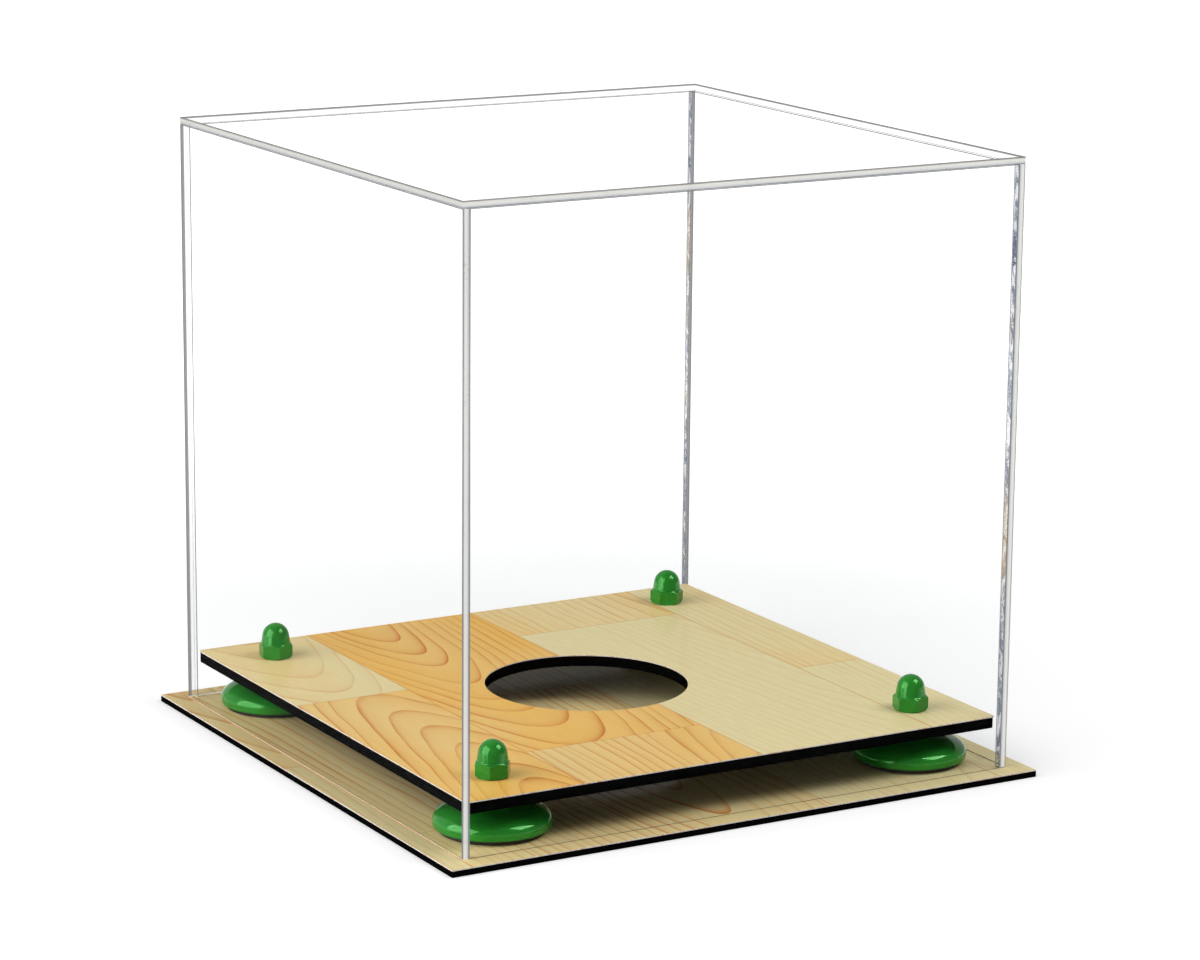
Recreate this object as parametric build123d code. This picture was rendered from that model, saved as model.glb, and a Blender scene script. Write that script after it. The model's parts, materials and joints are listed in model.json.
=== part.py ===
"""Display case with a clear cover, a wood-look base and a raised platform with a round seat.

Millimetres. The origin is the middle of the base's underside, +Z is up, the front faces -Y
and +X is to the right as seen from the front.
"""

import math
import os

from build123d import *

# Clear cover
cover_size = 254.0
panel_thickness = 3.0
polished_edge = 0.3

# Sheet goods of the base and the platform
laminate_thickness = 0.5
base_size = 272.0
base_thickness = 3.0
platform_size = 246.4
platform_thickness = 5.0
platform_top = 24.5
platform_corner_radius = 1.5
laminate_overhang = 0.3

# Round seat, in which a sphere 216 mm across sinks about 9 mm
seat_diameter = 86.0

# Risers
riser_spacing = 196.6
foot_rim_diameter = 47.3
foot_bottom_height = 2.1
foot_rim_height = 4.4
foot_dome_rise = 8.2
foot_collar_diameter = 18.0
foot_collar_fillet = 1.5
foot_wall = 2.6
foot_rib_width = 1.8
foot_rib_count = 6
foot_boss_diameter = 15.0
pad_diameter = 42.8
pad_recess_depth = 1.0
pad_gap = 0.1

# M8 stud and cap nut, modelled at the thread's outer diameter
thread_diameter = 8.0
thread_gap = 0.05
stud_hole_diameter = 8.6
stud_end_chamfer = 0.6
socket_depth = 9.5
nut_across_flats = 13.0
nut_corner_radius = nut_across_flats / math.sqrt(3)
nut_height = 15.0
nut_hex_height = 6.5
nut_dome_base_diameter = 12.6
nut_dome_diameter = 11.6
nut_bore_depth = 11.0
nut_chamfer_angle = 42.0
nut_mouth_chamfer = 0.5
drill_point_half_angle = 59.0

# Where each riser stands, and how far its cap nut is turned from having a corner on +X
corners = {
    "front_left": (-1, -1, 53.6),
    "front_right": (1, -1, 17.2),
    "back_left": (-1, 1, 18.8),
    "back_right": (1, 1, 36.0),
}

# Heights above the table
base_top = base_thickness
base_board_top = base_top - laminate_thickness
platform_bottom = platform_top - platform_thickness
platform_board_top = platform_top - laminate_thickness
cover_top = base_top + cover_size
wall_top = cover_top - panel_thickness
wall_height = wall_top - base_top
foot_bottom = base_top + foot_bottom_height
foot_rim = base_top + foot_rim_height
pad_top = foot_bottom + pad_recess_depth
socket_bottom = platform_bottom - socket_depth

parts_folder = "parts"


def revolve_profile(outline):
    """Turn an outline drawn in the XZ plane into a solid round the Z axis."""
    return revolve(make_face(Plane.XZ * outline), Axis.Z)


def round_bar(diameter, low, high):
    return Pos(0, 0, low) * extrude(Circle(diameter / 2), high - low)


def sheet(size, low, high, corner_radius=0.0):
    """A flat square sheet between two heights, with square or rounded corners."""
    outline = Rectangle(size, size)
    if corner_radius:
        outline = RectangleRounded(size, size, corner_radius)
    return Pos(0, 0, low) * extrude(outline, high - low)


def riser_places():
    return [Pos(x * riser_spacing / 2, y * riser_spacing / 2) for x, y, turn in corners.values()]


def platform_cutouts(low, high):
    """The round seat and the four stud holes through a platform sheet."""
    cutouts = round_bar(seat_diameter, low, high)
    for place in riser_places():
        cutouts += place * round_bar(stud_hole_diameter, low, high)
    return cutouts


def base_board():
    return sheet(base_size, 0.0, base_board_top)


def base_laminate():
    return sheet(base_size, base_board_top, base_top)


def platform_board():
    board = sheet(platform_size, platform_bottom, platform_board_top, platform_corner_radius)
    return board - platform_cutouts(platform_bottom, platform_board_top)


def platform_laminate():
    size = platform_size + 2 * laminate_overhang
    radius = platform_corner_radius + laminate_overhang
    laminate = sheet(size, platform_board_top, platform_top, radius)
    return laminate - platform_cutouts(platform_board_top, platform_top)


def cover_top_panel():
    """The lid panel over the walls, with its polished edges eased."""
    panel = sheet(cover_size, wall_top, cover_top)
    outer_edges = panel.edges().filter_by(Axis.Z) + panel.edges().group_by(Axis.Z)[-1]
    return chamfer(outer_edges, polished_edge)


def cover_side_panel(side):
    """A wall over the cover's full depth, side -1 for the left and 1 for the right."""
    panel = extrude(Rectangle(panel_thickness, cover_size), wall_height)
    outer_edges = panel.edges().filter_by(Axis.Z).group_by(Axis.X)[-1 if side > 0 else 0]
    panel = chamfer(outer_edges, polished_edge)
    return Pos(side * (cover_size - panel_thickness) / 2, 0, base_top) * panel


def cover_face_panel(side):
    """A wall between the two side walls, side -1 for the front and 1 for the back."""
    width = cover_size - 2 * panel_thickness
    panel = extrude(Rectangle(width, panel_thickness), wall_height)
    return Pos(0, side * (cover_size - panel_thickness) / 2, base_top) * panel


def dome_arc(radius, rise, top_radius):
    """A quarter-oval's lower part, from the rim's height up to where it is top_radius wide."""
    arc_size = math.degrees(math.acos(top_radius / radius))
    return EllipticalCenterArc((0, foot_rim), radius, rise, arc_size=arc_size)


def foot_body():
    """The moulded foot's outside: an upright rim, a low dome and a collar up to the platform."""
    rim = foot_rim_diameter / 2
    collar = foot_collar_diameter / 2
    dome = dome_arc(rim, foot_dome_rise, collar)
    collar_bottom = (dome @ 1).Y
    body = revolve_profile(
        Polyline((0, foot_bottom), (rim, foot_bottom), (rim, foot_rim))
        + dome
        + Polyline((collar, collar_bottom), (collar, platform_bottom), (0, platform_bottom))
        + Line((0, platform_bottom), (0, foot_bottom))
    )
    circles = body.edges().filter_by(GeomType.CIRCLE)
    root = circles.sort_by(lambda edge: abs(edge.center().Z - collar_bottom))[0]
    return fillet(root, foot_collar_fillet)


def foot_hollow():
    """The moulded hollow inside the dome, open below, that ribs divide into pockets."""
    inner = foot_boss_diameter / 2
    outer = foot_rim_diameter / 2 - foot_wall
    roof = dome_arc(outer, foot_dome_rise - foot_wall, inner)
    hollow = revolve_profile(
        Polyline((inner, pad_top), (outer, pad_top), (outer, foot_rim))
        + roof
        + Line((inner, (roof @ 1).Y), (inner, pad_top))
    )
    rib = Pos(outer / 2, 0, foot_bottom) * extrude(Rectangle(outer, foot_rib_width), platform_top)
    for index in range(foot_rib_count):
        hollow -= Rot(0, 0, index * 360 / foot_rib_count) * rib
    return hollow


def riser_foot():
    recess = round_bar(pad_diameter + 2 * pad_gap, foot_bottom, pad_top)
    socket = round_bar(thread_diameter + 2 * thread_gap, socket_bottom, platform_bottom)
    return foot_body() - recess - socket - foot_hollow()


def riser_pad():
    return round_bar(pad_diameter, base_top, pad_top)


def riser_stud():
    """Threaded rod from the foot's socket up into the cap nut."""
    top = platform_top + nut_bore_depth - stud_end_chamfer
    stud = round_bar(thread_diameter, socket_bottom, top)
    return chamfer(stud.edges().filter_by(GeomType.CIRCLE), stud_end_chamfer)


def nut_envelope():
    """The turned form that trims a hexagonal bar into the nut's chamfered lower part."""
    inner = nut_dome_base_diameter / 2
    reach = nut_corner_radius - inner
    fall = reach * math.tan(math.radians(nut_chamfer_angle))
    return revolve_profile(
        Polyline(
            (0, 0),
            (inner, 0),
            (nut_corner_radius, fall),
            (nut_corner_radius, nut_hex_height - fall),
            (inner, nut_hex_height),
            (0, nut_hex_height),
            close=True,
        )
    )


def nut_dome():
    base = nut_dome_base_diameter / 2
    radius = nut_dome_diameter / 2
    centre = nut_height - radius
    crown = CenterArc((0, centre), radius, 0, 90)
    return revolve_profile(
        Polyline((0, nut_height), (0, nut_hex_height / 2), (base, nut_hex_height / 2))
        + Line((base, nut_hex_height / 2), (base, nut_hex_height))
        + Line((base, nut_hex_height), (radius, centre))
        + crown
    )


def nut_bore():
    """The blind hole, with its drill point and a small lead-in at the mouth."""
    radius = thread_diameter / 2 + thread_gap
    point = radius / math.tan(math.radians(drill_point_half_angle))
    mouth = radius + nut_mouth_chamfer
    return revolve_profile(
        Polyline(
            (0, 0),
            (mouth, 0),
            (radius, nut_mouth_chamfer),
            (radius, nut_bore_depth),
            (0, nut_bore_depth + point),
            close=True,
        )
    )


def cap_nut():
    hexagon = extrude(RegularPolygon(nut_corner_radius, 6), nut_hex_height)
    nut = (hexagon & nut_envelope()) + nut_dome() - nut_bore()
    return Pos(0, 0, platform_top) * nut


def riser_pieces():
    """The four risers, each a pad, a foot, a stud and a cap nut."""
    pieces = {}
    pad, foot, stud, nut = riser_pad(), riser_foot(), riser_stud(), cap_nut()
    for (corner, (x, y, turn)), place in zip(corners.items(), riser_places()):
        pieces[corner + "_pad"] = place * pad
        pieces[corner + "_foot"] = place * foot
        pieces[corner + "_stud"] = place * stud
        pieces[corner + "_cap_nut"] = place * Rot(0, 0, turn) * nut
    return pieces


def main():
    os.makedirs(parts_folder, exist_ok=True)
    pieces = {
        "base_board": base_board(),
        "base_laminate": base_laminate(),
        "platform_board": platform_board(),
        "platform_laminate": platform_laminate(),
        "cover_top_panel": cover_top_panel(),
        "cover_left_panel": cover_side_panel(-1),
        "cover_right_panel": cover_side_panel(1),
        "cover_front_panel": cover_face_panel(-1),
        "cover_back_panel": cover_face_panel(1),
    }
    pieces.update(riser_pieces())
    for name, piece in pieces.items():
        export_step(piece, os.path.join(parts_folder, name + ".step"))


main()
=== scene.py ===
import json
import math

import bpy
from bpy.props import FloatProperty, FloatVectorProperty, IntProperty, PointerProperty
from mathutils import Matrix, Vector


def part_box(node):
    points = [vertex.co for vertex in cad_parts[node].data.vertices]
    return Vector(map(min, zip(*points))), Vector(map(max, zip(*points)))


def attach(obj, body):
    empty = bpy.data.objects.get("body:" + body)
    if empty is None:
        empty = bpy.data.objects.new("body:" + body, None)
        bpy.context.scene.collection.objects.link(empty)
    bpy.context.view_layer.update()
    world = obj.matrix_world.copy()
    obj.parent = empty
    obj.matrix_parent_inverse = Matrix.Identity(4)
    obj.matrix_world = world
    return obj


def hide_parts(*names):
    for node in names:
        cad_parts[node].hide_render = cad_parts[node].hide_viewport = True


bl_info = {
    "name": "Clear Display Case",
    "version": (1, 0, 0),
    "blender": (4, 5, 0),
    "location": "3D View > Sidebar > Display Case",
    "description": "Builds a clear-covered display case with a raised wood-look platform",
    "category": "Add Mesh",
}

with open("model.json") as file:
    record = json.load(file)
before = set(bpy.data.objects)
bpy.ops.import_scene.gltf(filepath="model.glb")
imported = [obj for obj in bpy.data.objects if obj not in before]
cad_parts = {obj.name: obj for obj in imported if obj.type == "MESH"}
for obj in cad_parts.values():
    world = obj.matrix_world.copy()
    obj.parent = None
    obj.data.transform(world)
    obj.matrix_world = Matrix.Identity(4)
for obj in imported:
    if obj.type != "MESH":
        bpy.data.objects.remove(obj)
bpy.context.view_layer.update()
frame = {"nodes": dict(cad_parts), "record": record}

MILLIMETRE = 0.001
X, Y, Z = range(3)
WHITE = (1.0, 1.0, 1.0, 1.0)

# Each riser, with the degrees by which its cap nut is turned
RISERS = {"front_left": 53.6, "front_right": 17.2, "back_left": 18.8, "back_right": 36.0}

# Finishes of a cover panel's faces, as places in its list of materials
CLEAR_FACE, CUT_EDGE, CEMENT_JOINT, REST_LINE = range(4)

# Settings that the base and the platform have one each of
PRINT_SETTINGS = ("seam", "joint", "figure", "tone", "coat", "warmth")

# Each lamp's place, width and height in metres, and power in watts
SOFTBOXES = {
    "left_softbox": ((-1.18, 0.0, 0.60), 1.35, 1.25, 16.0),
    "right_softbox": ((0.60, -0.58, 1.05), 0.75, 0.60, 7.0),
}
LAMP_TARGET = (0.0, 0.0, 0.05)
FLOOR_SIZE = 12.0
FLOOR_GAP = 0.05 * MILLIMETRE


def colour_property(name, description, default):
    return FloatVectorProperty(
        name=name, description=description, default=default, subtype="COLOR",
        size=3, min=0.0, max=1.0,
    )


def length_property(name, description, default):
    return FloatProperty(
        name=name, description=description, default=default, min=0.0, unit="LENGTH", precision=5
    )


def angle_property(name, description, degrees):
    return FloatProperty(
        name=name, description=description, default=math.radians(degrees), subtype="ANGLE"
    )


def share_property(name, description, default):
    return FloatProperty(
        name=name, description=description, default=default, min=0.0, max=1.0, subtype="FACTOR"
    )


def seed_property(name, description, default):
    return IntProperty(name=name, description=description, default=default, min=0)


class CoverSettings(bpy.types.PropertyGroup):
    """The clear acrylic cover."""

    edge_round: length_property("Edge round", "Eased corner along each polished edge", 0.0003)
    glue_gap: length_property("Glue line", "Cement between two panels", 0.00006)
    mirror_share: share_property("Mirror share", "How much of the room is mirrored", 0.08)
    sheet_tint: colour_property("Sheet tint", "What the sheet lets through", (0.996, 0.998, 0.998))
    # Painted light and shade of a cut edge: the glow colour of its middle, its dark lines, its cooler
    # side and how strongly it glows
    painted_edge_light: colour_property("Edge light", "Bright middle of a cut edge", (0.80, 0.79, 0.74))
    painted_edge_shade: colour_property("Edge dark", "Dark line beside a cut edge", (0.16, 0.16, 0.16))
    edge_blue: colour_property("Edge blue", "Cool side of a cut edge", (0.42, 0.50, 0.62))
    edge_glow: share_property("Edge glow", "Light from inside a sheet at its cut edge", 0.75)
    cool_share: share_property("Cool share", "How strongly the cool side shows", 0.5)
    # A joint's tone seen through a sheet, and the painted shade it shows seen from inside a sheet,
    # warmer in stretches
    joint_light: colour_property("Joint light", "Joint seen through a sheet", (0.66, 0.64, 0.62))
    joint_painted_shade: colour_property("Joint dark", "Joint seen from inside a sheet", (0.10, 0.13, 0.22))
    joint_warm: colour_property("Joint warm", "Warm stretches of that joint", (0.42, 0.30, 0.15))
    # Painted shade and painted light of the line under a sheet
    rest_line: colour_property("Rest line", "Shaded line under a sheet", (0.07, 0.05, 0.035))
    rest_light: colour_property("Rest light", "Lit line under a sheet", (0.86, 0.86, 0.84))
    refraction: FloatProperty(
        name="Refraction", description="Index of refraction of the sheet",
        default=1.49, min=1.0, max=2.0,
    )


class WoodSettings(bpy.types.PropertyGroup):
    """The boards and the plank-floor print on them."""

    plank_width: length_property("Plank width", "Width of one printed plank", 0.0815)
    plank_length: length_property("Plank length", "Length of one printed plank", 0.2562)
    joint_step: length_property("Joint step", "How far each plank's end is set back", 0.1545)
    base_seam: length_property("Base seam", "Place across the base of one seam", 0.0359)
    base_joint: length_property("Base joint", "Place along it of that plank's end", 0.2190)
    platform_seam: length_property("Platform seam", "Place across it of one seam", 0.0100)
    platform_joint: length_property("Platform joint", "Place along it of that end", 0.0782)
    seam_width: length_property("Seam width", "Printed line between planks", 0.0005)
    ring_spacing: length_property("Ring spacing", "Distance between two growth rings", 0.0042)
    taper: length_property("Taper", "How much nearer the pith comes along a plank", 0.045)
    platform_figure: seed_property("Platform figure", "Picks the platform's grain", 140465)
    platform_tone: seed_property("Platform tone", "Picks the platform's tones", 257272)
    base_figure: seed_property("Base figure", "Picks the base's grain", 5980)
    base_tone: seed_property("Base tone", "Picks the base's tones", 34329)
    pale: colour_property("Pale wood", "Palest plank", (0.87, 0.77, 0.42))
    honey: colour_property("Honey wood", "Warmest plank", (0.95, 0.50, 0.045))
    grain: colour_property("Grain line", "Summer wood line", (0.64, 0.18, 0.008))
    edge: colour_property("Laminate edge", "Pale core at the sheet's edge", (0.80, 0.79, 0.76))
    roughness: share_property("Roughness", "Gloss of the print's clear coat", 0.1)
    platform_coat: share_property("Platform coat", "Clear coat on the platform", 0.35)
    base_coat: share_property("Base coat", "Clear coat on the base", 0.25)
    platform_warmth: share_property("Platform warmth", "How warm its planks may be", 1.0)
    base_warmth: share_property("Base warmth", "How warm its planks may be", 0.25)
    edge_round: length_property("Edge round", "Eased corner along the boards' edges", 0.00012)
    platform_corner: length_property("Platform corner", "Rounded corners seen from above", 0.0015)
    stud_gap: length_property("Stud gap", "Room round a stud in its hole", 0.0003)


class RiserSettings(bpy.types.PropertyGroup):
    """The four risers and their cap nuts."""

    green: colour_property("Green", "Moulded green plastic", (0.018, 0.220, 0.020))
    shine: colour_property("Shine", "Colour of the plastic's highlights", (0.34, 1.0, 0.34))
    rubber: colour_property("Rubber", "Pad under each foot", (0.018, 0.015, 0.013))
    steel: colour_property("Steel", "Zinc plated stud", (0.55, 0.56, 0.58))
    roughness: share_property("Roughness", "Gloss of the moulded plastic", 0.035)
    segments: IntProperty(name="Segments", description="Sides of the round forms", default=96, min=24)
    rim_height: length_property("Rim height", "Upright rim of the foot", 0.0023)
    rim_round: length_property("Rim round", "Eased corner under the rim", 0.00035)
    dome_rise: length_property("Dome rise", "Rise of the foot's oval dome", 0.0082)
    collar_radius: length_property("Collar radius", "Collar on top of the dome", 0.009)
    collar_fillet: length_property("Collar fillet", "Hollow round the collar's foot", 0.0015)
    pad_gap: length_property("Pad gap", "Room round the pad in its recess", 0.0001)
    pad_round: length_property("Pad round", "Rounded edges of the pad", 0.0004)
    nut_flats: length_property("Nut width", "Width across the nut's flats", 0.013)
    nut_hexagon: length_property("Nut hexagon", "Height of the nut's hexagon", 0.0065)
    nut_dome: length_property("Nut dome", "Radius of the nut's dome", 0.0058)
    nut_slope: angle_property("Nut slope", "How far the dome widens downwards", 9.0)
    nut_chamfer: angle_property("Nut chamfer", "Slope of the hexagon's trimmed corners", 42.0)
    nut_round: length_property("Nut round", "Eased corners of the nut", 0.00012)


class StageSettings(bpy.types.PropertyGroup):
    """Camera, floor and room light."""

    camera_place: FloatVectorProperty(
        name="Camera place", description="Where the camera stands",
        default=(-0.7997, -1.3918, 0.4828), subtype="TRANSLATION", unit="LENGTH",
    )
    camera_azimuth: angle_property("Azimuth", "Camera's turn round the case", -30.058)
    camera_elevation: angle_property("Elevation", "Camera's height angle", 12.995)
    camera_roll: angle_property("Roll", "Camera's turn about its own axis", 0.536)
    lens: FloatProperty(
        name="Lens", description="Focal length in millimetres", default=118.21, min=10.0
    )
    front_light: share_property("Front light", "Room light from the camera's side", 0.45)
    top_light: share_property("Top light", "Room light from straight above", 0.85)
    room_light: share_property("Room light", "Share of its white that lights the case", 0.42)
    mirrored_light: share_property("Mirrored light", "Share of it that is mirrored", 0.5)
    floor_glow: share_property("Floor glow", "White that the floor adds to its lit tone", 0.3)
    floor_colour: colour_property("Floor", "Pale floor", (0.88, 0.88, 0.88))


SETTINGS = {
    "case_cover": CoverSettings,
    "case_wood": WoodSettings,
    "case_risers": RiserSettings,
    "case_stage": StageSettings,
}


# Modelling helpers

def leave_edit():
    bpy.ops.object.mode_set(mode="OBJECT")


def deselect_everything():
    if bpy.context.object and bpy.context.object.mode != "OBJECT":
        leave_edit()
    bpy.ops.object.select_all(action="DESELECT")


def name_new_piece(name):
    piece = bpy.context.object
    piece.name = name
    piece.data.name = name
    return piece


def make_active(piece):
    deselect_everything()
    piece.select_set(True)
    bpy.context.view_layer.objects.active = piece


def apply_place(piece):
    make_active(piece)
    bpy.ops.object.transform_apply(location=True, rotation=True, scale=True)


def apply_modifier(piece, kind, **settings):
    make_active(piece)
    modifier = piece.modifiers.new(kind.title(), kind)
    for name, value in settings.items():
        setattr(modifier, name, value)
    bpy.ops.object.modifier_apply(modifier=modifier.name)


def any_edge(first, last):
    return True


def upright_edge(first, last):
    return abs(first.z - last.z) > MILLIMETRE / 10


def bevel_edges(piece, test, offset, segments):
    """Bevel the edges whose two end points pass the test."""
    make_active(piece)
    bpy.ops.object.mode_set(mode="EDIT")
    bpy.ops.mesh.select_mode(type="EDGE")
    bpy.ops.mesh.select_all(action="DESELECT")
    leave_edit()
    vertices = piece.data.vertices
    for edge in piece.data.edges:
        first, last = (vertices[index].co for index in edge.vertices)
        edge.select = test(first, last)
    bpy.ops.object.mode_set(mode="EDIT")
    bpy.ops.mesh.bevel(offset=offset, segments=segments, affect="EDGES")
    leave_edit()


def ease_corners(piece, width, segments, sharper_than):
    """Round the edges that are sharper than an angle in degrees."""
    apply_modifier(
        piece, "BEVEL", width=width, segments=segments, limit_method="ANGLE",
        angle_limit=math.radians(sharper_than), harden_normals=False,
    )


def turn_in_edit(piece, degrees):
    """Turn a mesh about the upright axis through the origin."""
    make_active(piece)
    bpy.ops.object.mode_set(mode="EDIT")
    bpy.ops.mesh.select_all(action="SELECT")
    bpy.ops.transform.rotate(
        value=math.radians(degrees), orient_axis="Z", center_override=(0, 0, 0)
    )
    leave_edit()


def smooth(piece, degrees=30.0):
    """Round shading that leaves the large flat faces flat."""
    make_active(piece)
    bpy.ops.object.shade_smooth_by_angle(angle=math.radians(degrees))
    apply_modifier(piece, "WEIGHTED_NORMAL", keep_sharp=True)


def block(name, low, high):
    """A cuboid between two corners."""
    deselect_everything()
    bpy.ops.mesh.primitive_cube_add(size=1.0, location=(low + high) / 2)
    piece = name_new_piece(name)
    piece.scale = high - low
    apply_place(piece)
    return piece


def cutter(radius, low, high, place, sides):
    deselect_everything()
    bpy.ops.mesh.primitive_cylinder_add(
        vertices=sides, radius=radius, depth=high - low,
        location=(place[0], place[1], (low + high) / 2),
    )
    return name_new_piece("cutter")


def combine(piece, tool, operation):
    """Cut or intersect with another mesh, which is then removed."""
    apply_modifier(piece, "BOOLEAN", object=tool, operation=operation, solver="EXACT")
    mesh = tool.data
    bpy.data.objects.remove(tool)
    bpy.data.meshes.remove(mesh)


def turned(name, outline, segments):
    """Draw an outline of (radius, height) points by extruding a vertex, and spin it round Z."""
    deselect_everything()
    radius, height = outline[0]
    bpy.ops.mesh.primitive_plane_add(size=MILLIMETRE, location=(radius, 0, height))
    piece = name_new_piece(name)
    apply_place(piece)
    bpy.ops.object.mode_set(mode="EDIT")
    bpy.ops.mesh.select_mode(type="VERT")
    bpy.ops.mesh.select_all(action="SELECT")
    bpy.ops.mesh.merge(type="CENTER")
    for next_radius, next_height in outline[1:]:
        step = (next_radius - radius, 0, next_height - height)
        bpy.ops.mesh.extrude_vertices_move(TRANSFORM_OT_translate={"value": step})
        radius, height = next_radius, next_height
    bpy.ops.mesh.select_all(action="SELECT")
    bpy.ops.mesh.spin(steps=segments, angle=math.tau, center=(0, 0, 0), axis=(0, 0, 1))
    bpy.ops.mesh.select_all(action="SELECT")
    bpy.ops.mesh.remove_doubles(threshold=MILLIMETRE / 200)
    bpy.ops.mesh.normals_make_consistent(inside=False)
    leave_edit()
    return piece


def oval_points(centre, width, height, start, end, steps):
    """Points of an oval's arc in an outline, from one angle to another in degrees."""
    points = []
    for step in range(steps + 1):
        angle = math.radians(start + (end - start) * step / steps)
        points.append((centre[0] + width * math.cos(angle), centre[1] + height * math.sin(angle)))
    return points


def arc_points(centre, radius, start, end, steps):
    return oval_points(centre, radius, radius, start, end, steps)


def middle(box):
    return (box[0] + box[1]) / 2


def half_width(box):
    return (box[1].x - box[0].x) / 2


def copied(piece, name, move, degrees=0.0):
    """A copy with its own mesh, turned about its own middle and moved."""
    make_active(piece)
    bpy.ops.object.duplicate()
    copy = name_new_piece(name)
    copy.rotation_euler = (0, 0, math.radians(degrees))
    copy.location = move
    apply_place(copy)
    return copy


def finish_piece(piece, body, replaced, materials):
    """Give the piece its materials, tie it to its body and hide the plain node it stands for."""
    for material in materials:
        piece.data.materials.append(material)
    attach(piece, body)
    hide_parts(replaced)


# Node helpers

class Nodes:
    """A node tree, with short calls to add and link its nodes."""

    def __init__(self, tree):
        self.tree = tree
        self.tree.nodes.clear()

    def node(self, kind, values=None, **settings):
        """Add a node with its settings, and link or set its inputs by number or name."""
        node = self.tree.nodes.new(kind)
        for name, value in settings.items():
            setattr(node, name, value)
        for key, value in (values or {}).items():
            if isinstance(value, bpy.types.NodeSocket):
                self.tree.links.new(value, node.inputs[key])
            else:
                node.inputs[key].default_value = value
        return node

    def maths(self, operation, first, second=0.0, third=0.0, clamp=False):
        values = {0: first, 1: second, 2: third}
        node = self.node("ShaderNodeMath", values, operation=operation, use_clamp=clamp)
        return node.outputs[0]

    def vector_maths(self, operation, first, second):
        node = self.node("ShaderNodeVectorMath", {0: first, 1: second}, operation=operation)
        return node.outputs[0]

    def axes(self, vector):
        return tuple(self.node("ShaderNodeSeparateXYZ", {0: vector}).outputs)

    def point(self, x=0.0, y=0.0, z=0.0):
        return self.node("ShaderNodeCombineXYZ", {0: x, 1: y, 2: z}).outputs[0]

    def band(self, value, low, high, to_low=0.0, to_high=1.0, smoothed=True):
        """Map a value from one range to another, held at the ends."""
        kind = "SMOOTHSTEP" if smoothed else "LINEAR"
        values = {"Value": value, "From Min": low, "From Max": high}
        values.update({"To Min": to_low, "To Max": to_high})
        node = self.node("ShaderNodeMapRange", values, interpolation_type=kind, clamp=True)
        return node.outputs[0]

    def sway(self, value, reach):
        """Turn noise from 0 to 1 into a shift of up to reach either way."""
        return self.maths("MULTIPLY_ADD", value, 2 * reach, -reach)

    def to_nearest_end(self, share):
        """Distance from the nearer end, for a share from 0 to 1."""
        return self.maths("MINIMUM", share, self.maths("SUBTRACT", 1.0, share))

    def light_path(self):
        return self.node("ShaderNodeLightPath").outputs


class Shader(Nodes):
    """A material's node tree, with its pattern on Object coordinates."""

    def __init__(self, name):
        self.material = bpy.data.materials.new(name)
        self.material.use_nodes = True
        super().__init__(self.material.node_tree)
        coordinates = self.node("ShaderNodeTexCoord").outputs
        self.place = coordinates["Object"]
        self.normal = coordinates["Normal"]

    def noise(self, scale, vector=None, detail=2.0, roughness=0.5, distortion=0.0):
        """Noise with one scale per axis, in cycles per metre."""
        stretched = self.vector_maths("MULTIPLY", vector or self.place, scale)
        values = {"Vector": stretched, "Scale": 1.0, "Detail": detail}
        values.update({"Roughness": roughness, "Distortion": distortion})
        return self.node("ShaderNodeTexNoise", values).outputs["Fac"]

    def mix(self, share, first, second):
        values = {0: share, 6: first, 7: second}
        return self.node("ShaderNodeMix", values, data_type="RGBA").outputs[2]

    def mix_values(self, share, first, second):
        return self.node("ShaderNodeMix", {0: share, 2: first, 3: second}).outputs[0]

    def bump(self, height, distance, strength):
        values = {"Height": height, "Distance": distance, "Strength": strength}
        return self.node("ShaderNodeBump", values).outputs[0]

    def behind(self):
        """1 where a face is seen from its back, 0 from its front."""
        return self.node("ShaderNodeNewGeometry").outputs["Backfacing"]

    def level_share(self):
        """1 on faces that face up or down, 0 on upright ones."""
        return self.band(self.maths("ABSOLUTE", self.axes(self.normal)[Z]), 0.5, 0.6)

    def finish(self, surface):
        self.node("ShaderNodeOutputMaterial", {"Surface": surface.outputs[0]})
        return self.material

    def surface(self, **values):
        named = {key.replace("_", " "): value for key, value in values.items()}
        return self.finish(self.node("ShaderNodeBsdfPrincipled", named))


def colour(value, brightness=1.0):
    """A colour for a node's socket, made darker or lighter."""
    return tuple(min(channel * brightness, 1.0) for channel in value) + (1.0,)


def grey(level):
    return colour((level, level, level))


# Materials of the base and the platform

def plank_grid(s, wood, seam, joint):
    """Place on the planks: column and row numbers, and the share across and along each plank."""
    x, y = s.axes(s.place)[:2]
    across = s.maths("DIVIDE", s.maths("SUBTRACT", x, seam), wood.plank_width)
    column = s.maths("FLOOR", across)
    start = s.maths("MULTIPLY_ADD", column, wood.joint_step, joint)
    along = s.maths("DIVIDE", s.maths("SUBTRACT", y, start), wood.plank_length)
    row = s.maths("FLOOR", along)
    return column, row, s.maths("FRACT", across), s.maths("FRACT", along)


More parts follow.
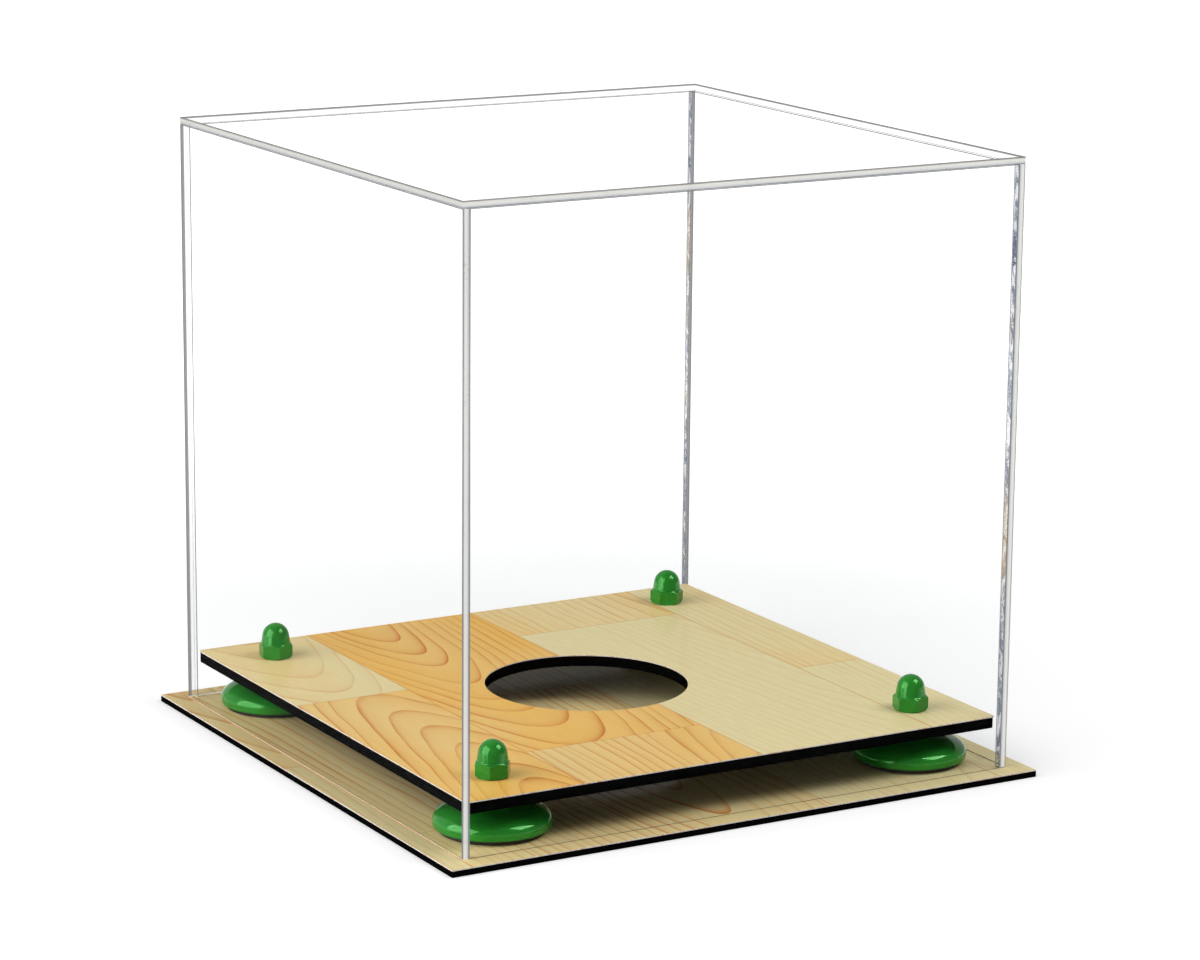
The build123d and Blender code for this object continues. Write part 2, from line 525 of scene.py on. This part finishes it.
def growth_rings(s, wood, chance, across, along, own_place):
    """Share from one ring to the next of a tapering log cut by the plank's face.

    That gives arches near the pith and lines beside it.
    """
    wander = s.sway(s.noise((12.0, 4.0, 1.0), own_place, 3.0), 11 * MILLIMETRE)
    ripple = s.sway(s.noise((70.0, 16.0, 1.0), own_place), 1.5 * MILLIMETRE)
    pith = s.band(chance[0], 0.0, 1.0, -0.35, 1.35, False)
    sideways = s.maths("MULTIPLY", s.maths("SUBTRACT", across, pith), wood.plank_width)
    sideways = s.maths("ADD", sideways, s.maths("ADD", wander, ripple))
    taper = s.band(chance[1], 0.0, 1.0, -wood.taper, wood.taper, False)
    nearest = s.band(chance[2], 0.0, 1.0, 2 * MILLIMETRE, 14 * MILLIMETRE, False)
    nearest = s.maths("MULTIPLY_ADD", s.maths("ABSOLUTE", taper), 0.5, nearest)
    depth = s.maths("MULTIPLY_ADD", s.maths("SUBTRACT", along, 0.5), taper, nearest)
    sideways_squared = s.maths("MULTIPLY", sideways, sideways)
    from_pith = s.maths("SQRT", s.maths("MULTIPLY_ADD", depth, depth, sideways_squared))
    rings = s.maths("DIVIDE", from_pith, wood.ring_spacing)
    uneven = s.noise((0.55, 1.0, 1.0), s.point(rings, chance[0]))
    return s.maths("FRACT", s.maths("MULTIPLY_ADD", uneven, 1.6, rings))


def summer_wood(s, ring, tone, own_place):
    """How dark a growth ring is: soft, then sharp at its end, and stronger on warm planks."""
    soft = s.maths("MULTIPLY", s.maths("POWER", ring, 2.0), 0.3)
    sharp = s.maths("MULTIPLY", s.maths("POWER", ring, 10.0), 1.3)
    late = s.maths("MULTIPLY", s.maths("ADD", soft, sharp), s.band(ring, 0.96, 1.0, 1.0, 0.0))
    fade = s.band(s.noise((40.0, 8.0, 1.0), own_place), 0.35, 0.6, 0.45, 1.0)
    by_plank = s.band(tone, 0.0, 1.0, 0.15, 1.0, False)
    return s.maths("MULTIPLY", late, s.maths("MULTIPLY", fade, by_plank))


def plank_seams(s, wood, across, along):
    """The thin printed line round each plank, narrower at its ends."""
    side_gap = s.maths("MULTIPLY", s.to_nearest_end(across), wood.plank_width)
    end_gap = s.maths("MULTIPLY", s.to_nearest_end(along), wood.plank_length)
    gap = s.maths("MINIMUM", side_gap, s.maths("MULTIPLY", end_gap, 1.3))
    return s.band(gap, wood.seam_width * 0.3, wood.seam_width, 0.5, 0.0)


def laminate_rim(s, wood):
    """The laminate's trimmed edge: a pale core with brown nicks."""
    nicks = s.noise((1300.0, 1300.0, 20.0), detail=1.0)
    return s.mix(s.band(nicks, 0.5, 0.62, 0.0, 0.6), colour(wood.edge), colour(wood.grain))


def plank_print_material(board, wood):
    """Plank-floor print: staggered planks, each with its own tone, arched grain and fibres."""
    own = {setting: getattr(wood, board + "_" + setting) for setting in PRINT_SETTINGS}
    s = Shader("plank_print_" + board)
    column, row, across, along = plank_grid(s, wood, own["seam"], own["joint"])
    figure_place = s.point(column, row, own["figure"])
    figure = s.node("ShaderNodeTexWhiteNoise", {"Vector": figure_place}).outputs["Color"]
    chance = s.node("ShaderNodeSeparateColor", {0: figure}).outputs
    tone_place = s.point(column, row, own["tone"])
    tone = s.node("ShaderNodeTexWhiteNoise", {"Vector": tone_place}).outputs["Value"]
    own_place = s.vector_maths("ADD", s.place, figure)
    ring = growth_rings(s, wood, chance, across, along, own_place)
    line = summer_wood(s, ring, tone, own_place)
    seam = plank_seams(s, wood, across, along)
    fibre = s.noise((1500.0, 70.0, 1.0), detail=3.0)
    grain = colour(wood.grain)

    blush = s.noise((16.0, 7.0, 1.0), own_place)
    warmth = s.maths("ADD", tone, s.maths("MULTIPLY_ADD", blush, 0.9, -0.6), clamp=True)
    warmth = s.maths("MULTIPLY", warmth, own["warmth"])
    body = s.mix(warmth, colour(wood.pale), colour(wood.honey))
    body = s.mix(line, body, grain)
    body = s.mix(s.band(fibre, 0.35, 0.7, 0.0, 0.10), body, grain)
    body = s.mix(seam, body, grain)
    body = s.mix(s.level_share(), laminate_rim(s, wood), body)

    sheen = s.noise((60.0, 25.0, 1.0))
    gloss = s.band(sheen, 0.3, 0.7, wood.roughness - 0.04, wood.roughness + 0.05)
    gloss = s.maths("MULTIPLY_ADD", line, 0.06, gloss)
    emboss = s.maths("MULTIPLY", s.noise((900.0, 700.0, 1.0)), 0.7)
    relief = s.maths("MULTIPLY_ADD", line, -0.5, s.maths("MULTIPLY_ADD", fibre, 0.4, emboss))
    normal = s.bump(s.maths("SUBTRACT", relief, seam), 0.03 * MILLIMETRE, 0.5)
    return s.surface(
        Base_Color=body, Roughness=gloss, Normal=normal, Specular_IOR_Level=0.0,
        Coat_Weight=own["coat"], Coat_Roughness=gloss, Coat_Normal=normal, Coat_IOR=1.5,
    )


def black_sheet_material():
    """Black acrylic: glossy faces with a little dust, and saw-cut edges with upright marks."""
    s = Shader("black_sheet")
    flat = s.level_share()
    marks = s.noise((2600.0, 2600.0, 60.0), detail=3.0, roughness=0.6)
    chips = s.noise((420.0, 420.0, 300.0))
    dust = s.noise((900.0, 900.0, 900.0))
    scratch = s.maths("MULTIPLY", s.band(marks, 0.58, 0.75), s.band(chips, 0.45, 0.62))
    edge = s.mix(s.maths("MULTIPLY", scratch, 0.3), grey(0.001), grey(0.03))
    face = s.mix(s.band(dust, 0.72, 0.8, 0.0, 0.3), colour((0.004, 0.004, 0.0045)), grey(0.04))
    rough_edge = s.band(marks, 0.3, 0.7, 0.4, 0.6)
    rough_face = s.band(dust, 0.3, 0.7, 0.05, 0.09)
    rough = s.mix_values(flat, rough_edge, rough_face)
    depth = s.maths("MULTIPLY", marks, s.maths("SUBTRACT", 1.0, flat))
    grooves = s.bump(depth, 0.04 * MILLIMETRE, 0.6)
    return s.surface(
        Base_Color=s.mix(flat, edge, face), Roughness=rough, Normal=grooves,
        Specular_IOR_Level=0.0, Coat_Weight=s.band(flat, 0.0, 1.0, 0.03, 0.6),
        Coat_Roughness=rough, Coat_Normal=grooves, Coat_IOR=1.49,
    )


# Materials of the risers

def green_plastic_material(risers):
    """Glossy moulded plastic with a faint orange-peel skin, moulding flow and hairline wear."""
    s = Shader("green_plastic")
    flow = s.noise((70.0, 70.0, 110.0), detail=3.0)
    peel = s.noise((700.0, 700.0, 700.0))
    wear = s.noise((2200.0, 260.0, 900.0), detail=3.0, distortion=0.6)
    scuff = s.band(wear, 0.66, 0.74, 0.0, 0.10)
    tone = s.mix(s.band(flow, 0.3, 0.7), colour(risers.green, 0.82), colour(risers.green, 1.18))
    tone = s.mix(scuff, tone, colour((0.35, 0.55, 0.33)))
    rough = s.band(peel, 0.3, 0.7, risers.roughness - 0.02, risers.roughness + 0.03)
    rough = s.maths("ADD", rough, s.maths("MULTIPLY", scuff, 1.4))
    return s.surface(
        Base_Color=tone, Roughness=rough, Normal=s.bump(peel, 0.03 * MILLIMETRE, 0.12),
        IOR=1.5, Specular_IOR_Level=1.0, Specular_Tint=colour(risers.shine),
    )


def rubber_material(risers):
    """Matt black rubber with a fine grain and a dusty bloom."""
    s = Shader("black_rubber")
    grain = s.noise((1600.0, 1600.0, 1600.0), detail=3.0)
    bloom = s.band(s.noise((130.0, 130.0, 260.0), detail=3.0), 0.4, 0.75, 0.0, 0.5)
    tone = s.mix(bloom, colour(risers.rubber), colour((0.055, 0.05, 0.045)))
    rough = s.band(grain, 0.3, 0.7, 0.55, 0.8)
    pores = s.bump(grain, 0.06 * MILLIMETRE, 0.5)
    return s.surface(Base_Color=tone, Roughness=rough, Normal=pores, IOR=1.5)


def steel_material(risers):
    """Zinc plated steel with turning lines."""
    s = Shader("zinc_steel")
    lines = s.noise((200.0, 200.0, 3000.0))
    spots = s.band(s.noise((500.0, 500.0, 500.0), detail=3.0), 0.4, 0.7)
    tone = s.mix(spots, colour(risers.steel), colour(risers.steel, 0.7))
    rough = s.band(lines, 0.3, 0.7, 0.25, 0.42)
    grooves = s.bump(lines, 0.02 * MILLIMETRE, 0.4)
    return s.surface(Base_Color=tone, Metallic=1.0, Roughness=rough, Normal=grooves)


# Materials of the cover

def clear_face_material(cover):
    """The sheet's polished face: what is behind shows through, and the room is mirrored in it."""
    s = Shader("clear_acrylic_face")
    haze = s.noise((35.0, 35.0, 35.0), detail=3.0)
    wipe = s.noise((500.0, 60.0, 500.0), detail=3.0, distortion=0.4)
    rough = s.band(haze, 0.3, 0.7, 0.01, 0.03)
    rough = s.maths("MULTIPLY_ADD", s.band(wipe, 0.62, 0.72), 0.03, rough)
    fresnel = s.node("ShaderNodeFresnel", {"IOR": cover.refraction}).outputs[0]
    mirror = s.maths("MULTIPLY", fresnel, s.maths("SUBTRACT", 1.0, s.behind()))
    mirror = s.maths("SUBTRACT", mirror, 0.035, clamp=True)
    mirror = s.maths("MULTIPLY", mirror, cover.mirror_share)
    shine = s.node("ShaderNodeBsdfGlossy", {"Color": WHITE, "Roughness": rough}).outputs[0]
    tint = colour(cover.sheet_tint)
    through = s.node("ShaderNodeBsdfTransparent", {"Color": tint}).outputs[0]
    return s.finish(s.node("ShaderNodeMixShader", {0: mirror, 1: through, 2: shine}))


def thickness_share(s, axis, start, thickness):
    """How far through the sheet a place on its cut edge lies, with a little streaking."""
    depth = s.maths("SUBTRACT", s.maths("ABSOLUTE", s.axes(s.place)[axis]), start)
    stretch = [9.0, 9.0, 9.0]
    stretch[axis] = 500.0
    streaks = s.sway(s.noise(stretch, detail=3.0), 0.06)
    return s.maths("ADD", s.maths("DIVIDE", depth, thickness), streaks)


def cut_edge_material(name, cover, axis, start, thickness, line_start=None):
    """A cut edge, pale with a painted glow for light from inside the sheet, between painted dark
    lines of shade, and saw marks.

    From behind it is nearly clear but for its painted dark lines, or for one line from line_start
    out, with its tone painted darker.
    """
    s = Shader(name)
    share = thickness_share(s, axis, start, thickness)
    behind = s.behind()
    marks = s.noise((900.0, 900.0, 900.0), distortion=1.2)
    clouds = s.noise((60.0, 60.0, 60.0), detail=3.0)
    specks = s.maths("MULTIPLY", s.band(marks, 0.52, 0.7), s.band(clouds, 0.45, 0.65))
    # Painted shade: a dark line along each side of the edge, and the painted glow cooler towards the
    # inner side
    outer = s.band(share, 0.72, 0.88, 0.0, 0.85)
    inner = s.band(share, 0.05, 0.22, 0.9, 0.0)
    line = s.maths("MAXIMUM", outer, inner)
    dark = colour(cover.painted_edge_shade)
    cool = s.band(share, 0.2, 0.5, cover.cool_share, 0.0)
    tone = s.mix(cool, colour(cover.painted_edge_light), colour(cover.edge_blue))
    tone = s.mix(line, tone, dark)
    tone = s.mix(s.maths("MULTIPLY", specks, 0.3), tone, dark)
    # Seen from behind, the tone is painted darker and one dark line from line_start out shows
    if line_start is not None:
        line = s.band(share, line_start, line_start + 0.15)
        tone = s.mix(s.maths("MULTIPLY", behind, 0.85), tone, dark)
    strength = s.band(s.level_share(), 0.0, 1.0, 0.8, 0.45)
    from_behind = s.maths("MULTIPLY_ADD", line, strength, 0.12)
    # Painted glow for light from inside the sheet, stronger on edges that face front or back
    facing = s.maths("ABSOLUTE", s.axes(s.normal)[Y])
    glow = s.band(facing, 0.2, 0.9, cover.edge_glow * 0.65, cover.edge_glow)
    return s.surface(
        Base_Color=s.mix(0.75, tone, grey(0.02)), Roughness=s.band(marks, 0.3, 0.7, 0.15, 0.32),
        Normal=s.bump(marks, 0.03 * MILLIMETRE, 0.4), IOR=cover.refraction,
        Alpha=s.mix_values(behind, 0.96, from_behind), Specular_IOR_Level=0.15,
        Emission_Color=tone, Emission_Strength=glow,
    )


def cement_joint_material(cover):
    """A solvent-cemented joint: nearly clear, with tiny bubbles, and painted dark from behind, as
    shade seen from inside the sheet.
    """
    s = Shader("acrylic_cement_joint")
    behind = s.behind()
    pattern = {"Vector": s.place, "Scale": 750.0}
    bubbles = s.node("ShaderNodeTexVoronoi", pattern).outputs["Distance"]
    wetting = s.noise((45.0, 45.0, 45.0), detail=3.0)
    spots = s.band(bubbles, 0.12, 0.2, 1.0, 0.0)
    spots = s.maths("MULTIPLY", spots, s.band(wetting, 0.5, 0.62))
    streaks = s.noise((300.0, 300.0, 160.0), detail=4.0, roughness=0.6, distortion=0.8)
    warm = s.band(s.noise((40.0, 40.0, 14.0)), 0.5, 0.62)
    # Painted shade of the joint seen from inside the sheet, warmer in stretches
    dark = s.mix(warm, colour(cover.joint_painted_shade), colour(cover.joint_warm))
    tone = s.mix(behind, colour(cover.joint_light), dark)
    tone = s.mix(spots, tone, grey(0.9))
    seen = s.maths("MULTIPLY", behind, s.band(streaks, 0.38, 0.6, 0.15, 0.7))
    seen = s.maths("ADD", seen, s.band(wetting, 0.3, 0.7, 0.14, 0.30), clamp=True)
    seen = s.maths("MAXIMUM", seen, s.maths("MULTIPLY", spots, 0.8))
    rough = s.band(wetting, 0.3, 0.7, 0.2, 0.4)
    return s.surface(Base_Color=tone, Roughness=rough, IOR=cover.refraction, Alpha=seen)


def rest_line_material(name, cover, line):
    """The thin line where a sheet stands on the base, with painted shade or painted light, and a
    faint painted glow.
    """
    s = Shader(name)
    dust = s.noise((300.0, 300.0, 300.0), detail=3.0)
    dusty = [channel * 0.8 + 0.06 for channel in line]
    tone = s.mix(s.band(dust, 0.35, 0.7), colour(line), colour(dusty))
    return s.surface(
        Base_Color=tone, Roughness=s.band(dust, 0.3, 0.7, 0.3, 0.5), IOR=cover.refraction,
        Alpha=s.band(dust, 0.3, 0.7, 0.95, 0.8), Emission_Color=tone, Emission_Strength=0.4,
    )


# Base and platform

def board_sheet(name, material, body, slot, corner_radius=0.0, holes=()):
    """A flat board with rounded corners, round holes and eased edges."""
    wood = bpy.context.scene.case_wood
    low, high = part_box(name)
    board = block(name + "_sheet", low, high)
    if corner_radius:
        bevel_edges(board, upright_edge, corner_radius, 6)
    for radius, place, sides in holes:
        tool = cutter(radius, low.z - MILLIMETRE, high.z + MILLIMETRE, place, sides)
        combine(board, tool, "DIFFERENCE")
    ease_corners(board, wood.edge_round, 2, 50)
    smooth(board)
    finish_piece(board, body, name, [material])


def platform_holes(wood):
    """Radius, place and number of sides of the round seat and the four stud holes."""
    seat = next(mount for mount in frame["record"]["mounts"] if mount["name"] == "ball_seat")
    seat_sides = 192
    stud_hole_sides = 48
    holes = [(seat["dims"]["r_mm"] * MILLIMETRE, (0.0, 0.0), seat_sides)]
    for corner in RISERS:
        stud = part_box(corner + "_stud")
        holes.append((half_width(stud) + wood.stud_gap, middle(stud).xy, stud_hole_sides))
    return holes


class CASE_OT_add_base(bpy.types.Operator):
    """Build the base board with its plank print"""

    bl_idname = "case.add_base"
    bl_label = "Add Base"

    def execute(self, context):
        wood = context.scene.case_wood
        board_sheet("base_board", black_sheet_material(), "base", "black_acrylic")
        laminate = plank_print_material("base", wood)
        board_sheet("base_laminate", laminate, "base", "woodgrain_laminate")
        return {"FINISHED"}


class CASE_OT_add_platform(bpy.types.Operator):
    """Build the raised platform with its round seat"""

    bl_idname = "case.add_platform"
    bl_label = "Add Platform"

    def execute(self, context):
        wood = context.scene.case_wood
        black = bpy.data.materials.get("black_sheet") or black_sheet_material()
        laminate = plank_print_material("platform", wood)
        shape = {"corner_radius": wood.platform_corner, "holes": platform_holes(wood)}
        board_sheet("platform_board", black, "stand", "black_acrylic", **shape)
        board_sheet("platform_laminate", laminate, "stand", "woodgrain_laminate", **shape)
        return {"FINISHED"}


# Risers

def foot_outline(risers, foot_box, pad_box):
    """Radius and height points of the moulded foot: recess, upright rim, low dome and collar."""
    rim = half_width(foot_box)
    recess = half_width(pad_box) + risers.pad_gap
    recess_top = pad_box[1].z
    bottom, top = foot_box[0].z, foot_box[1].z
    rim_top = bottom + risers.rim_height
    eased, fillet, collar = risers.rim_round, risers.collar_fillet, risers.collar_radius
    root = collar + fillet
    # The oval stops just short of the collar's fillet, and a short slope joins them
    dome_end = math.acos(root / rim)
    root_height = rim_top + risers.dome_rise * math.sin(dome_end) + 0.9 * fillet
    dome_degrees = math.degrees(dome_end) - 2.0
    points = [(0.0, recess_top), (recess, recess_top), (recess, bottom)]
    points += arc_points((rim - eased, bottom + eased), eased, -90.0, 0.0, 5)
    points += oval_points((0.0, rim_top), rim, risers.dome_rise, 0.0, dome_degrees, 36)
    points += arc_points((root, root_height), fillet, 250.0, 180.0, 6)
    return points + [(collar, top), (0.0, top)]


def pad_outline(risers, pad_box):
    """A disc with rounded edges."""
    rounded = risers.pad_round
    bottom, top = pad_box[0].z, pad_box[1].z
    centre = half_width(pad_box) - rounded
    points = [(0.0, bottom)]
    points += arc_points((centre, bottom + rounded), rounded, -90.0, 0.0, 4)
    points += arc_points((centre, top - rounded), rounded, 0.0, 90.0, 4)
    return points + [(0.0, top)]


def nut_outline(risers, height):
    """The form turned on a lathe: the hexagon's chamfered ends, then a dome."""
    dome, hexagon, slope = risers.nut_dome, risers.nut_hexagon, risers.nut_slope
    centre = height - dome
    dome_base = dome / math.cos(slope) + (centre - hexagon) * math.tan(slope)
    beyond = risers.nut_flats / math.sqrt(3) + MILLIMETRE
    fall = (beyond - dome_base) * math.tan(risers.nut_chamfer)
    points = [(0.0, 0.0), (dome_base, 0.0), (beyond, fall), (beyond, hexagon - fall)]
    points.append((dome_base, hexagon))
    return points + arc_points((0.0, centre), dome, math.degrees(slope), 90.0, 20)


def cap_nut(name, risers, height):
    """One cap nut standing at the origin: a hexagonal bar trimmed by the turned form."""
    deselect_everything()
    bpy.ops.mesh.primitive_cylinder_add(
        vertices=6, radius=risers.nut_flats / math.sqrt(3), depth=height + MILLIMETRE,
        location=(0, 0, height / 2),
    )
    nut = name_new_piece(name)
    apply_place(nut)
    # Half a side's turn puts a corner of the hexagon on the X axis
    turn_in_edit(nut, -30.0)
    form = turned("turned_form", nut_outline(risers, height), risers.segments)
    turn_in_edit(form, 180.0 / risers.segments)
    combine(nut, form, "INTERSECT")
    ease_corners(nut, risers.nut_round, 3, 25)
    smooth(nut, 28.0)
    return nut


class CASE_OT_add_risers(bpy.types.Operator):
    """Build the four risers: foot, rubber pad and cap nut, and finish the studs"""

    bl_idname = "case.add_risers"
    bl_label = "Add Risers"

    def execute(self, context):
        risers = context.scene.case_risers
        green = green_plastic_material(risers)
        rubber = rubber_material(risers)
        steel = steel_material(risers)
        foot_box, pad_box, nut_box = (
            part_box("front_left_" + part) for part in ("foot", "pad", "cap_nut")
        )
        foot = turned("foot_master", foot_outline(risers, foot_box, pad_box), risers.segments)
        smooth(foot)
        pad = turned("pad_master", pad_outline(risers, pad_box), risers.segments)
        smooth(pad)
        nut_bottom, nut_top = nut_box[0].z, nut_box[1].z
        nut = cap_nut("nut_master", risers, nut_top - nut_bottom)
        for corner, degrees in RISERS.items():
            place = middle(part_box(corner + "_pad"))
            place.z = 0.0
            new_foot = copied(foot, corner + "_moulded_foot", place)
            finish_piece(new_foot, "stand", corner + "_foot", [green])
            new_pad = copied(pad, corner + "_rubber_pad", place)
            finish_piece(new_pad, "stand", corner + "_pad", [rubber])
            place.z = nut_bottom
            new_nut = copied(nut, corner + "_domed_nut", place, degrees)
            finish_piece(new_nut, "stand", corner + "_cap_nut", [green])
            stud = frame["nodes"][corner + "_stud"]
            stud.data.materials.clear()
            stud.data.materials.append(steel)
        for master in (foot, pad, nut):
            bpy.data.objects.remove(master)
        return {"FINISHED"}


# Cover

def panel_finish(polygon, thin_axis, joints):
    """Which finish a face of a panel has, by the way it faces."""
    normal = polygon.normal
    square_on = 0.99
    if abs(normal[thin_axis]) > square_on:
        return CLEAR_FACE
    if normal.z < -square_on:
        return CUT_EDGE
    if thin_axis != Z and normal.z < -0.3:
        outside = polygon.center.dot(normal) > 0.0
        return REST_LINE if outside else CLEAR_FACE
    if any(abs(normal[axis]) > square_on for axis in joints):
        return CEMENT_JOINT
    return CUT_EDGE


def cover_panel(name, thin_axis, joints, finishes):
    """One acrylic sheet with eased edges, a hair short where it is cemented to its neighbours."""
    cover = bpy.context.scene.case_cover
    low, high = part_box(name)
    for axis in joints:
        high[axis] -= cover.glue_gap
        if axis != Z:
            low[axis] += cover.glue_gap
    panel = block(name + "_sheet", low, high)
    bevel_edges(panel, any_edge, cover.edge_round, 2)
    finish_piece(panel, "cover", name, finishes)
    for polygon in panel.data.polygons:
        polygon.material_index = panel_finish(polygon, thin_axis, joints)


class CASE_OT_add_cover(bpy.types.Operator):
    """Build the five sheets of the clear cover"""

    bl_idname = "case.add_cover"
    bl_label = "Add Clear Cover"

    def execute(self, context):
        cover = context.scene.case_cover
        wall_low, wall_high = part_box("cover_left_panel")
        inside = abs(wall_high.x)
        thick = wall_high.x - wall_low.x
        face = clear_face_material(cover)
        joint = cement_joint_material(cover)
        roof = wall_high.z
        edge_x = cut_edge_material("acrylic_cut_edge_x", cover, X, inside, thick, line_start=0.35)
        edge_y = cut_edge_material("acrylic_cut_edge_y", cover, Y, inside, thick)
        edge_z = cut_edge_material("acrylic_cut_edge_z", cover, Z, roof, thick, line_start=0.62)
        # Painted shade for the right and front sheets' rest lines, painted light for the left and
        # back ones
        shaded = rest_line_material("acrylic_rest_line_shaded", cover, cover.rest_line)
        lit = rest_line_material("acrylic_rest_line_lit", cover, cover.rest_light)
        cover_panel("cover_top_panel", Z, (), (face, edge_z, joint, shaded))
        cover_panel("cover_left_panel", X, (Z,), (face, edge_x, joint, lit))
        cover_panel("cover_right_panel", X, (Z,), (face, edge_x, joint, shaded))
        cover_panel("cover_front_panel", Y, (X, Z), (face, edge_y, joint, shaded))
        cover_panel("cover_back_panel", Y, (X, Z), (face, edge_y, joint, lit))
        return {"FINISHED"}


# Stage

def soft_lamp(name, place, width, height, power):
    """A soft light aimed at the case, seen only in mirror images."""
    deselect_everything()
    bpy.ops.object.light_add(type="AREA", location=place)
    lamp = bpy.context.object
    lamp.name = name
    lamp.data.shape = "RECTANGLE"
    lamp.data.size = width
    lamp.data.size_y = height
    lamp.data.energy = power
    aim = Vector(LAMP_TARGET) - Vector(place)
    lamp.rotation_euler = aim.to_track_quat("-Z", "Y").to_euler()
    lamp.visible_camera = False
    lamp.visible_transmission = False


def floor_material(stage):
    """Pale floor that keeps the shadow, white to the camera and softer in mirror images."""
    s = Shader("floor")
    mottle = s.band(s.noise((9.0, 9.0, 1.0)), 0.3, 0.7)
    tone = s.mix(mottle, colour(stage.floor_colour), colour(stage.floor_colour, 0.985))
    lit = s.node("ShaderNodeBsdfDiffuse", {"Color": tone}).outputs[0]
    distance = s.node("ShaderNodeVectorMath", {0: s.place}, operation="LENGTH").outputs["Value"]
    glow = s.band(distance, 0.2, 0.8, stage.floor_glow, 1.0)
    path = s.light_path()
    mirrored = s.maths("MULTIPLY", path["Is Glossy Ray"], stage.mirrored_light)
    seen = s.maths("MAXIMUM", path["Is Camera Ray"], mirrored)
    seen = s.maths("MAXIMUM", seen, path["Is Transmission Ray"])
    strength = s.maths("MULTIPLY", seen, glow)
    extra = s.node("ShaderNodeEmission", {"Strength": strength}).outputs[0]
    return s.finish(s.node("ShaderNodeAddShader", {0: lit, 1: extra}))


def room_light(stage):
    """A room that is white to the camera, and softer as light and in mirror images."""
    world = bpy.data.worlds.new("studio")
    world.use_nodes = True
    s = Nodes(world.node_tree)
    direction = s.axes(s.node("ShaderNodeTexCoord").outputs["Generated"])
    backwards = s.band(direction[Y], -0.2, 0.5, stage.front_light, 1.0)
    upwards = s.band(direction[Z], 0.28, 0.55, 1.0, stage.top_light)
    path = s.light_path()
    mirrored = s.maths("MULTIPLY", path["Is Glossy Ray"], stage.mirrored_light)
    share = s.maths("MAXIMUM", mirrored, path["Is Transmission Ray"])
    share = s.maths("MAXIMUM", share, stage.room_light)
    strength = s.maths("MULTIPLY", s.maths("MULTIPLY", backwards, upwards), share)
    strength = s.maths("MAXIMUM", strength, path["Is Camera Ray"])
    light = s.node("ShaderNodeBackground", {"Color": WHITE, "Strength": strength}).outputs[0]
    s.node("ShaderNodeOutputWorld", {"Surface": light})
    bpy.context.scene.world = world


def add_floor(stage):
    deselect_everything()
    bpy.ops.mesh.primitive_plane_add(size=FLOOR_SIZE, location=(0, 0, -FLOOR_GAP))
    floor = name_new_piece("floor")
    floor.data.materials.append(floor_material(stage))


def add_camera(stage):
    """A camera turned by its azimuth, its height angle and its roll."""
    azimuth, elevation, roll = stage.camera_azimuth, stage.camera_elevation, stage.camera_roll
    back = Vector((
        math.sin(azimuth) * math.cos(elevation),
        -math.cos(azimuth) * math.cos(elevation),
        math.sin(elevation),
    ))
    right = Vector((math.cos(azimuth), math.sin(azimuth), 0.0))
    up = back.cross(right)
    rolled_right = math.cos(roll) * right + math.sin(roll) * up
    rolled_up = -math.sin(roll) * right + math.cos(roll) * up
    deselect_everything()
    bpy.ops.object.camera_add(location=stage.camera_place)
    camera = bpy.context.object
    camera.name = "camera"
    camera.rotation_euler = Matrix((rolled_right, rolled_up, back)).transposed().to_euler()
    camera.data.lens = stage.lens
    camera.data.sensor_width = 36.0
    camera.data.clip_start = 0.01
    camera.data.clip_end = 50.0
    camera.data.dof.use_dof = False
    return camera


class CASE_OT_add_stage(bpy.types.Operator):
    """Set the camera, the pale floor and the soft lamps"""

    bl_idname = "case.add_stage"
    bl_label = "Add Stage"

    def execute(self, context):
        scene = context.scene
        stage = scene.case_stage
        scene.camera = add_camera(stage)
        add_floor(stage)
        room_light(stage)
        for name, setup in SOFTBOXES.items():
            soft_lamp(name, *setup)
        scene.view_settings.view_transform = "Standard"
        return {"FINISHED"}


# Add-on

class CASE_PT_panel(bpy.types.Panel):
    """Build buttons and sizes of the display case"""

    bl_idname = "CASE_PT_panel"
    bl_label = "Display Case"
    bl_space_type = "VIEW_3D"
    bl_region_type = "UI"
    bl_category = "Display Case"

    def draw(self, context):
        column = self.layout.column(align=True)
        for operator in OPERATORS:
            column.operator(operator.bl_idname)
        for name, group in SETTINGS.items():
            box = self.layout.box()
            box.label(text=group.__doc__)
            for setting in group.__annotations__:
                box.prop(getattr(context.scene, name), setting)


OPERATORS = (
    CASE_OT_add_base,
    CASE_OT_add_platform,
    CASE_OT_add_risers,
    CASE_OT_add_cover,
    CASE_OT_add_stage,
)
CLASSES = tuple(SETTINGS.values()) + OPERATORS + (CASE_PT_panel,)


def register():
    for item in CLASSES:
        bpy.utils.register_class(item)
    for name, group in SETTINGS.items():
        setattr(bpy.types.Scene, name, PointerProperty(type=group))


def unregister():
    for name in SETTINGS:
        delattr(bpy.types.Scene, name)
    for item in reversed(CLASSES):
        bpy.utils.unregister_class(item)


def main():
    register()
    bpy.ops.case.add_base()
    bpy.ops.case.add_platform()
    bpy.ops.case.add_risers()
    bpy.ops.case.add_cover()
    bpy.ops.case.add_stage()


if __name__ == "__main__":
    main()
